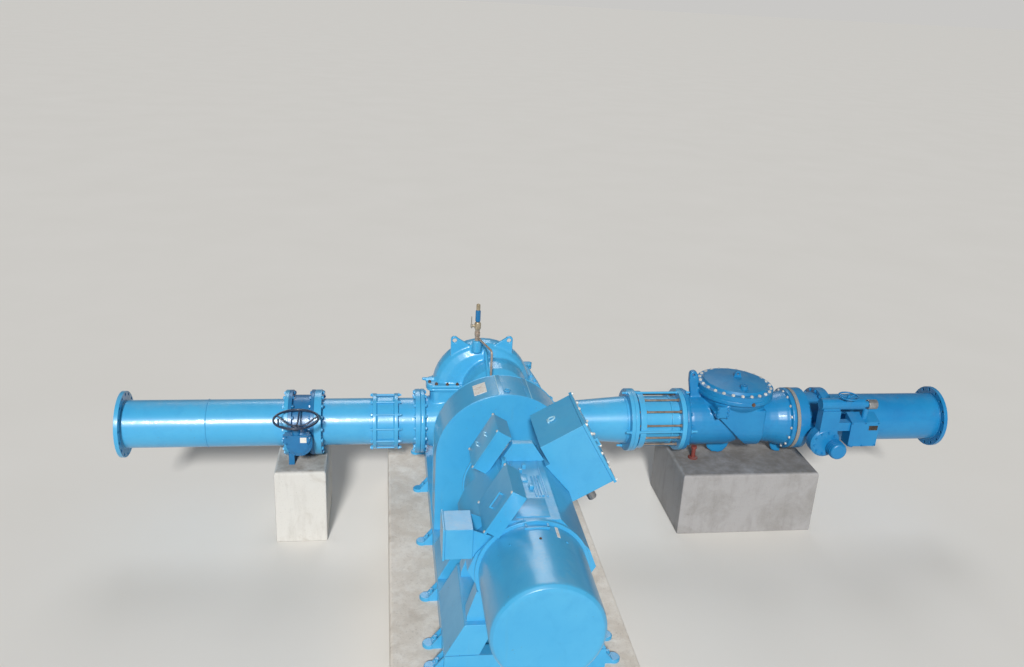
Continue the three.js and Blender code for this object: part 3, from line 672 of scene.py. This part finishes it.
def roundedEdges(node, width):
    holder = bpy.data.objects.new(node + "Edges", mergedCopy(node))
    scene.collection.objects.link(holder)
    drill = drillFor(node) if node in flangeHoles["ends"] else None
    if drill:
        cut = holder.modifiers.new("cut", "BOOLEAN")
        cut.operation = "DIFFERENCE"
        cut.object = drill
    edges = holder.modifiers.new("edges", "BEVEL")
    edges.width = width
    edges.segments = edgeSettings["segments"]
    edges.limit_method = "ANGLE"
    edges.angle_limit = math.radians(edgeSettings["angle"])
    edges.use_clamp_overlap = True
    even = holder.modifiers.new("even", "WEIGHTED_NORMAL")      # keeps the flat faces flat beside their round edges
    even.keep_sharp = True
    shade(holder.data, True)
    mesh = baked(holder)
    if drill:
        bpy.data.objects.remove(drill)
    return mesh


def softenNode(node, paint, width):
    if width:
        mesh = roundedEdges(node, width)
    else:      # a welded frame of flat plates keeps its sharp edges
        mesh = mergedCopy(node, flat=False)
        shade(mesh, False)
    mesh.name = node + "Finish"
    keep(node + "Finish", mesh, paint, bodyOf[node], stands=(node,))


for node, (paint, width) in softEdges.items():
    softenNode(node, paint, width)
print("softened", len(softEdges), "solids")


# the castings, with the fillets of a mould

castings = {     # node: (paint, voxel, smoothing steps)
    "pump_lower_casing": ("skyEnamel", 0.009, 3),
    "pump_upper_casing": ("skyEnamel", 0.007, 3),
    "check_valve_body": ("deepEnamel", 0.008, 3),
}


def castNode(node, paint, voxel, rounds):      # remeshed finely and relaxed, which fills its inner corners
    holder = bpy.data.objects.new(node + "Cast", mergedCopy(node))
    scene.collection.objects.link(holder)
    grain = holder.modifiers.new("grain", "REMESH")
    grain.mode = "VOXEL"
    grain.voxel_size = voxel
    relax = holder.modifiers.new("relax", "SMOOTH")
    relax.factor = 0.5
    relax.iterations = rounds
    mesh = smoothed(baked(holder), 60)
    mesh.name = node + "Cast"
    keep(node + "Cast", mesh, paint, bodyOf[node], stands=(node,))


for node, (paint, voxel, rounds) in castings.items():
    castNode(node, paint, voxel, rounds)
print("cast", len(castings), "solids")


# handwheels

wheelSettings = {
    "suction_valve_handwheel": {
        "at": (-1.612, -0.390, 1.092), "radius": 0.180, "rim": 0.010, "rise": 0.090, "spokes": 5, "start": 13,
        "hub": 0.032, "grip": (-0.129, -0.125, 0.088, 0.155), "paint": "navyEnamel", "body": "suction_handwheel"},
    "actuator_handwheel": {
        "at": (3.195, -0.415, 1.330), "radius": 0.085, "rim": 0.007, "rise": 0.026, "spokes": 3, "start": 23,
        "hub": 0.0155, "paint": "deepEnamel", "body": "actuator_wheel"},
}
spokeFoot = 0.006      # how far over the hub's foot a spoke starts
gripRadius = 0.008


def makeWheel(node):
    values = wheelSettings[node]
    centre = Vector(values["at"])
    r, rim, rise, hub = [values[key] for key in ("radius", "rim", "rise", "hub")]
    loop = [tuple(centre + Vector((x, y, rise))) for x, y in circle(72, r)]
    parts = [tube(loop, rim, 16, cyclic=True)]
    for x, y in circle(values["spokes"], 1, values["start"]):
        across = Vector((x, y, 0))
        line = [centre + across * hub * 0.5 + Vector((0, 0, rise * 0.2 + spokeFoot)),
                centre + across * r * 0.45 + Vector((0, 0, rise * 0.25 + spokeFoot)),
                centre + across * r * 0.85 + Vector((0, 0, rise * 0.9)),
                centre + across * r + Vector((0, 0, rise))]
        parts.append(tube(rounded(line, r * 0.12), rim * 0.78, 12))
    boss = lathe([(0, 0.0005), (hub, 0.0005), (hub, 0.016), (hub * 0.8, 0.03), (0, 0.03)], 32)
    parts.append(moved(boss, Matrix.Translation(centre)))
    parts.append(bolts([(0, 0)], Matrix.Translation(centre + Vector((0, 0, 0.028))), "small", values["paint"]))
    if "grip" in values:
        x, y, low, high = values["grip"]
        parts.append(tube([tuple(centre + Vector((x, y, h))) for h in (low, high)], gripRadius, 12))
    mesh = smoothed(gathered(node + "Wheel", parts), 40)
    keep(node + "Wheel", mesh, values["paint"], values["body"], stands=(node,))


for node in wheelSettings:
    makeWheel(node)
print("handwheels made")


# the copper vent pipe on the pump

ventSettings = {
    "radius": 0.009, "bend": 0.035,
    "line": [(-0.020, -0.450, 1.4405), (-0.020, -0.450, 1.805), (-0.095, -0.060, 1.772)],
    "stemAt": (-0.102, -0.050, 0),
    "stem": [(0, 1.7485), (0.020, 1.7485), (0.020, 1.788), (0.0175, 1.790), (0.0175, 1.827), (0.020, 1.829),
             (0.020, 1.8445), (0, 1.8445)],
    "nuts": [((-0.102, -0.050), 0.026, 1.790, 1.825), ((-0.020, -0.450), 0.015, 1.442, 1.462)],
}


def makeVentPipe():
    run = tube(rounded(ventSettings["line"], ventSettings["bend"], 8), ventSettings["radius"], 16)
    stem = moved(lathe(ventSettings["stem"], 32), Matrix.Translation(ventSettings["stemAt"]))
    nuts = []
    for at, radius, low, high in ventSettings["nuts"]:
        shape = bmesh.new()
        bmesh.ops.create_cone(shape, cap_ends=True, segments=6, radius1=radius, radius2=radius, depth=high - low)
        bmesh.ops.bevel(shape, geom=shape.edges[:], offset=0.002, segments=1, affect="EDGES")
        nuts.append(moved(finished(shape, "nut"), Matrix.Translation((*at, (low + high) / 2))))
    mesh = smoothed(gathered("ventRun", [run, stem, *nuts]), 40)
    keep("ventRun", mesh, "copperPipe", stands=("vent_pipe",))


makeVentPipe()
print("vent pipe made")


# flange bolts

def onPipe(x, way, z):      # square to a pipe along X
    return facing((x, 0, z), (way, 0, 0), (0, -1, 0))


flangeSettings = {     # piece: paint, size, and rings of x, facing, z, circle radius, count, start angle, seed
    "flangeBolts": ("skyEnamel", "flange", [
        (-1.731, -1, suctionZ, 0.2590, 16, 11, 0), (-1.422, 1, suctionZ, 0.2590, 16, -11, 3),
        (-0.624, -1, suctionZ, 0.2575, 16, 11, 4), (-0.540, 1, suctionZ, 0.2575, 16, -11, 5),
        (0.537, -1, dischargeZ, 0.2000, 12, 15, 6), (0.600, 1, dischargeZ, 0.2000, 12, -15, 7)]),
    "valveFlangeBolts": ("deepEnamel", "flange", [
        (-1.668, 1, suctionZ, 0.2590, 16, -11, 1), (-1.512, -1, suctionZ, 0.2590, 16, 11, 2),
        (1.838, 1, dischargeZ, 0.2590, 16, -11, 8), (2.959, 1, dischargeZ, 0.2590, 16, -4, 10),
        (3.107, -1, dischargeZ, 0.2590, 16, 4, 11), (3.190, 1, dischargeZ, 0.2590, 16, -4, 12)]),
    "gasketFlangeBolts": ("zincBolt", "gasket", [(2.793, -1, dischargeZ, 0.2590, 16, 4, 9)]),
}


def makeFlangeBolts(name):
    paint, size, rings = flangeSettings[name]
    parts = [bolts(circle(count, radius, start), onPipe(x, way, z), size, paint, seed)
             for x, way, z, radius, count, start, seed in rings]
    keep(name, smoothed(gathered(name, parts), 30), paint)


tieSettings = {     # x of the bars' ends, the centre's height, and the rings of nuts as (x, facing, start angle)
    "sleeveTieRods": {"x": (-1.012, -0.742), "z": suctionZ, "count": 12, "circle": 0.237, "start": 8.5, "rod": 0.0080,
                      "nuts": "tie", "rings": [(-0.990, -1, 8.5), (-0.772, 1, -8.5)], "paint": "skyEnamel"},
    "jointTieRods": {"x": (1.370, 1.785), "z": dischargeZ, "count": 12, "circle": 0.238, "start": 11, "rod": 0.0100,
                     "nuts": "tie", "rings": [(1.430, 1, -11), (1.755, -1, 11)], "paint": "tieBar"},
    "longTies": {"x": (1.240, 1.895), "z": dischargeZ, "count": 4, "circle": 0.266, "start": 0, "rod": 0.0105,
                 "nuts": "flange", "rings": [(1.287, -1, 0), (1.357, 1, 0), (1.755, -1, 0), (1.838, 1, 0)],
                 "paint": "skyEnamel"},
}


def makeTieRods(name):      # bars along the pipe, with their nuts
    values = tieSettings[name]
    near, far = values["x"]
    count, radius, z = values["count"], values["circle"], values["z"]
    parts = []
    for a, b in circle(count, radius, values["start"]):
        parts.append(tube([(near, -a, z + b), (far, -a, z + b)], values["rod"], 10))
    for x, way, start in values["rings"]:
        parts.append(bolts(circle(count, radius, start), onPipe(x, way, z), values["nuts"], values["paint"]))
    keep(name, smoothed(gathered(name, parts), 30), values["paint"])


for name in flangeSettings:
    makeFlangeBolts(name)
for name in tieSettings:
    makeTieRods(name)
print("flange bolts made")


# fasteners of the pump, the covers, the boxes and the base

def level(z):      # this and the next two are places for bolts
    return Matrix.Translation((0, 0, z))


def onFront(x, y, z):
    return facing((x, y, z), (0, -1, 0))


def onShaft(y, way):
    return facing((0, y, shaftZ), (0, way, 0))


def mirrored(x, rows):      # a point on both sides in each row
    return [(side * x, y) for side in (-1, 1) for y in rows]


splitTop = 1.350      # where the nuts stand on the split flange of the pump
lidTilt = 0.031       # radians, by which the check valve's cover leans
onCover = facing((2.297, 0, 1.286), (math.sin(lidTilt), 0, math.cos(lidTilt)), (1, 0, 0)) @ level(0.022)
anchorRows = (-2.605, -2.384, -1.882, -1.185, -0.379, 0.300)      # y of the base's anchors, on both sides
footTop, footRows = 0.918, [y + d for y in (-2.660, -2.200, -1.800) for d in (0.022, 0.088)]      # the motor's feet
pumpTop, pumpRows = 0.695, (-0.26, -0.12, 0.12, 0.26)      # the pump's feet

screwSettings = {     # piece: paint, seed, and groups of size, place and points
    "casingNutsRusty": ("rustyBolt", 5, [
        ("casing", level(splitTop), [(-0.444, -0.088), (-0.350, -0.096), (-0.264, -0.096), (-0.500, -0.034)])]),
    "casingNutsSkyEn": ("skyEnamel", 5, [("casing", level(splitTop), [
        (-0.115, -0.430), (-0.115, -0.480), (0.115, -0.480), (0.115, -0.430), (0.250, -0.385), (0.345, -0.378),
        (0.436, -0.366), (0.462, -0.318), (0.443, -0.215), (0.434, -0.120), (0.428, -0.020), (0.410, 0.080),
        (0.330, 0.412), (0.230, 0.407), (0.115, 0.480), (-0.115, 0.480), (-0.264, 0.149), (-0.350, 0.149)])]),
    "coverNuts": ("zincBolt", 8, [("cover", onCover, circle(24, 0.320, 7))]),
    "anchorNuts": ("skyEnamel", 3, [("anchor", level(0.507), mirrored(0.560, anchorRows))]),
    "gearboxScrews": ("valveEnamel", 1, [
        ("small", onFront(-1.592, -0.402, 0.955), circle(8, 0.094, 22)),
        ("screw", onFront(-1.610, -0.428, 1.006), [(-0.08, -0.03), (-0.08, 0.03), (0.09, -0.03), (0.09, 0.03)])]),
    "actuatorScrews": ("deepEnamel", 1, [
        ("small", onFront(3.040, -0.452, 0.909), circle(10, 0.104, 9)),
        ("small", onFront(2.1025, -0.302, 1.148), mirrored(0.044, (-0.040, 0.040)) + mirrored(0.044, [0])),
        ("screw", Matrix.Translation((2.303, -0.200, 1.368)), circle(6, 0.025)),
        ("screw", onFront(3.396, -0.440, 0.9875), [
            (-0.124, -0.108), (0.124, -0.108), (-0.124, 0.108), (0.124, 0.108), (0, -0.112), (0, 0.112)])]),
    "wallPlug": ("rustyBolt", 1, [("cover", facing((2.351, -0.3445, 1.247), (0.09, -1, 0)), [(0, 0)])]),
    "setScrews": ("skyEnamel", 1, [
        ("small", onShaft(-0.760, -1), circle(6, 0.076, 10)), ("small", onShaft(0.760, 1), circle(6, 0.076, 10)),
        ("small", onShaft(-0.560, 1), circle(6, 0.076, 10)), ("small", onShaft(0.560, -1), circle(6, 0.076, 10)),
        ("small", onShaft(-0.520, -1), circle(8, 0.104, 22)), ("small", onShaft(0.520, 1), circle(8, 0.104, 22)),
        ("screw", onShaft(-1.668, 1), circle(12, 0.334, 15)),
        ("small", level(footTop), [(-0.372, y) for y in footRows]),
        ("small", level(pumpTop), [(-0.398, y) for y in pumpRows]),
        ("small", level(footTop), [(0.372, y) for y in footRows]),
        ("small", level(pumpTop), [(0.398, y) for y in pumpRows])]),
}


def anchorPads():      # the round pads beside the anchors
    profile = [(0, 0), (0.046, 0), (0.046, 0.018), (0.040, 0.024), (0, 0.024)]
    return [moved(lathe(profile, 28), Matrix.Translation((x, y, 0.4851))) for x, y in mirrored(0.598, anchorRows)]


for name in screwSettings:
    makeScrews(name, screwSettings, anchorPads() if name == "anchorNuts" else ())
print("fasteners made")


# motor fittings

slopeCos, slopeSin = 0.8660254, 0.5      # the motor's boxes stand on slopes of 30 degrees


def onFace(side, n, s, y):      # a point by the motor's side: n outwards from the shaft, s down the slope
    return (side * (slopeCos * n + slopeSin * s), y, shaftZ + slopeSin * n - slopeCos * s)


def slopeAxes(side):      # straight out of a slope, and down it
    return Vector((side * slopeCos, 0, slopeSin)), Vector((side * slopeSin, 0, -slopeCos))


def driveLid():      # a sheet on the drive end box, made in onFace's axes
    place = Matrix((*slopeAxes(-1), Vector((0, 1, 0)))).transposed().to_4x4()
    place.translation = (0, 0, shaftZ)
    mesh = slab((0.4205, -0.434, -2.006), (0.430, -0.112, -1.734), place=place)
    mesh.flip_normals()      # because the axes of this side are left-handed
    return mesh


motorTop = 1.625      # height of its flat top
topStrips = [     # low strips, ridges and plates on it: x0, y0, x1, y1, height
    (-0.067, -2.430, -0.053, -1.984, 0.010), (0.044, -2.436, 0.054, -2.185, 0.008),
    (0.064, -2.436, 0.074, -2.185, 0.008), (0.082, -2.437, 0.098, -2.186, 0.010),
    (0.112, -2.440, 0.124, -1.990, 0.006), (-0.113, -2.669, 0.095, -2.460, 0.005),
    (-0.075, -2.709, 0.060, -2.692, 0.007), (0.006, -2.082, 0.030, -2.048, 0.030),
    (-0.025, -2.135, -0.001, -2.099, 0.024), (0.016, -2.345, 0.042, -2.303, 0.024),
    (-0.128, -2.060, -0.100, -2.004, 0.052), (-0.020, -2.250, 0.020, -2.160, 0.008),
]
rearBracket = [     # the three bars of a U behind the flat top
    ((-0.070, -2.775, 1.606), (-0.058, -2.716, 1.622)), ((0.062, -2.775, 1.606), (0.074, -2.716, 1.622)),
    ((-0.077, -2.776, 1.606), (0.075, -2.762, 1.622)),
]
ringSettings = {"at": (0.482, -0.335, -1.738), "radius": 0.024, "bar": 0.0065, "from": 110, "to": 390}
lidHandles = {"at": ((-0.315, -1.857), (-0.219, -1.839)), "reach": 0.026, "foot": 0.428, "top": 0.446, "bar": 0.0045}
eyeSettings = {"at": (0.009, -1.202, 1.7965), "radius": 0.020, "bar": 0.006}


def makeMotorFittings():
    parts = [slab((x0, y0, motorTop - 0.002), (x1, y1, motorTop + rise)) for x0, y0, x1, y1, rise in topStrips]
    parts += [slab(low, high) for low, high in rearBracket]
    out, down = slopeAxes(1)      # the ring handle on the main box's lid
    onLid = facing(onFace(1, *ringSettings["at"]), -down, out)
    first, last, radius = ringSettings["from"], ringSettings["to"], ringSettings["radius"]
    turns = [math.radians(first + (last - first) * i / 20) for i in range(21)]
    ring = [(radius * math.cos(t) + 0.004, radius * math.sin(t), 0.009) for t in turns]
    # the ring, its bracket and the lid handles (the list named bright) take the pale enamel that paints their
    # highlights
    bright = [moved(tube(ring, ringSettings["bar"], 12, cyclic=True), onLid),
              moved(slab((-0.032, -0.024, -0.001), (-0.018, 0.024, 0.010)), onLid)]
    parts.append(driveLid())
    foot, top, reach = lidHandles["foot"], lidHandles["top"], lidHandles["reach"]
    for s, y in lidHandles["at"]:
        ends = [onFace(-1, n, s, y + d) for n, d in ((foot, -reach), (top, -reach), (top, reach), (foot, reach))]
        bright.append(tube(rounded(ends, 0.007, 4), lidHandles["bar"], 10))
    x, y, z = eyeSettings["at"]      # the lifting eye on the guard
    eye = [(x + a, y + b, z) for a, b in circle(24, eyeSettings["radius"])]
    parts.append(tube(eye, eyeSettings["bar"], 12, cyclic=True))
    keep("motorFittings", smoothed(gathered("motorFittings", parts), 35), "skyEnamel")
    keep("boxFittings", smoothed(gathered("boxFittings", bright), 35), "highlightEnamel")


coverScrews = {"n": 0.685, "s": (-0.330, -0.250, -0.080, 0.040, 0.152), "y": (-2.013, -1.770, -1.524)}
lidScrews = [     # n, and the rows and columns of the two small lids' screws
    (0.430, (-0.424, -0.122), (-1.996, -1.744)), (0.419, (-0.407, -0.105), (-2.740, -2.410)),
]
cowlRadius = 0.333
tagTurn = 0.365      # radians from the cowl's top


def coverEdge():      # the screws round the main cover, none of them within it
    rows, columns = coverScrews["s"], coverScrews["y"]
    return [(s, y) for s in rows for y in columns if y != columns[1] or s in (rows[0], rows[-1])]


def onSlope(side, n, s=0.0, y=0.0):
    return facing(onFace(side, n, s, y), *slopeAxes(side))


def onCowl(turn, y):      # turn is in radians from the top
    away = Vector((math.sin(turn), 0, math.cos(turn)))
    return facing(Vector((0, y, shaftZ)) + away * cowlRadius, away)


boxScrewSettings = {
    "boxScrews": ("zincBolt", 1, [("small", onSlope(1, coverScrews["n"]), coverEdge())] + [
        ("screw", onSlope(-1, n, s, y), [(0, 0)]) for n, rows, columns in lidScrews for s in rows for y in columns]),
    "cowlPlug": ("rustyBolt", 1, [("screw", onCowl(0.006, -2.879), [(0, 0)])]),
    "cowlScrews": ("skyEnamel", 1, [
        ("screw", onCowl(0.521, -2.863), [(0, 0)]), ("screw", onCowl(-0.546, -2.864), [(0, 0)])]),
}


def makeBoxScrews():
    for name in boxScrewSettings:
        makeScrews(name, boxScrewSettings)
    place = level(shaftZ) @ Matrix.Rotation(tagTurn, 4, "Y")
    keep("cowlTag", slab((-0.010, -2.842, 0.3325), (0.010, -2.735, 0.3350), 0.001, place), "blankPlate")


guardSettings = {     # the sheet's radius, ends and foot, its seams' x, half their width, and where the painted highlight strips along them lie
    "radius": 0.5085, "ends": (-1.268, -0.904), "foot": 0.652, "seams": (-0.036, 0.174), "half": 0.018,
    "worn": 0.0165, "bead": 0.004,
}


def makeGuardSeams():      # the sheet's lap joints, and the beads round its edges
    values = guardSettings
    radius, half, foot = values["radius"], values["half"], values["foot"]
    near, far = values["ends"]
    parts = []
    worn = []
    for x in values["seams"]:
        angle = math.acos(x / 0.509)
        place = level(shaftZ) @ Matrix.Rotation(math.pi / 2 - angle, 4, "Y")
        parts.append(slab((-half, near, 0.5075), (half, far, 0.5115), 0.001, place))
        # painted highlight: a thin pale strip along each seam's outer edge, where light glints on the lap; the key
        # and the list named worn hold these painted highlight strips, not wear
        edge = math.copysign(values["worn"], x)
        worn.append(slab((edge - 0.0035, near + 0.002, 0.5095), (edge + 0.0035, far - 0.002, 0.5128), 0.001, place))
    keep("guardSeamHighlights", gathered("guardSeamHighlights", worn), "highlightEnamel")
    for y in values["ends"]:
        arc = [(a, y, shaftZ + b) for a, b in circle(96, radius)[:49]]      # the upper half
        parts.append(tube([(radius, y, foot), *arc, (-radius, y, foot)], values["bead"], 8))
    keep("guardSeams", smoothed(gathered("guardSeams", parts), 35), "skyEnamel")


beadRadius = 0.005
beadSettings = [     # weld beads round the pipes: x, z, pipe radius
    (-3.055, suctionZ, 0.2032), (-1.733, suctionZ, 0.2032), (-1.420, suctionZ, 0.2032), (-0.626, suctionZ, 0.2032),
    (-2.380, suctionZ, 0.2032), (0.602, dischargeZ, 0.162), (1.268, dischargeZ, 0.2139), (3.192, dischargeZ, 0.218),
    (4.278, dischargeZ, 0.218),
]


def makeWeldBeads():
    sky, deep = [], []
    for x, z, radius in beadSettings:
        line = [(x, a, z + b) for a, b in circle(64, radius)]
        (deep if x > 3 else sky).append(tube(line, beadRadius, 8, cyclic=True))      # the outlet pipe's beads take its darker enamel, which is partly painted shade
    keep("weldBeads", gathered("weldBeads", sky), "skyEnamel")
    keep("outletBeads", gathered("outletBeads", deep), "deepEnamel")


actuatorSettings = {     # a gland is a radius, a height and a place
    "window": ((3.433, -0.4425, 1.028), (3.517, -0.4395, 1.073)),
    "frame": ((3.425, -0.4412, 1.020), (3.525, -0.4392, 1.081)),
    "glands": [(0.020, 0.034, (3.33, -0.375, 0.835)), (0.016, 0.030, (3.43, -0.375, 0.839))],
    "rings": [(3.123, y, 0.872) for y in (-0.475, -0.500, -0.525)],
    "ringShape": [(0.070, -0.003), (0.0805, -0.003), (0.0805, 0.003), (0.070, 0.003)],
}


def makeActuatorDetails():
    values = actuatorSettings
    keep("actuatorWindow", slab(*values["window"], 0.001), "darkGlass")
    parts = [slab(*values["frame"], 0.001)]
    parts += [moved(rod(radius, height), Matrix.Translation(at)) for radius, height, at in values["glands"]]
    parts += [moved(lathe(values["ringShape"], 40, closed=True), facing(at, (0, 1, 0))) for at in values["rings"]]
    keep("actuatorDetails", smoothed(gathered("actuatorDetails", parts), 35), "deepEnamel")


makeMotorFittings()
makeBoxScrews()
makeGuardSeams()
makeWeldBeads()
makeActuatorDetails()
print("fittings made")
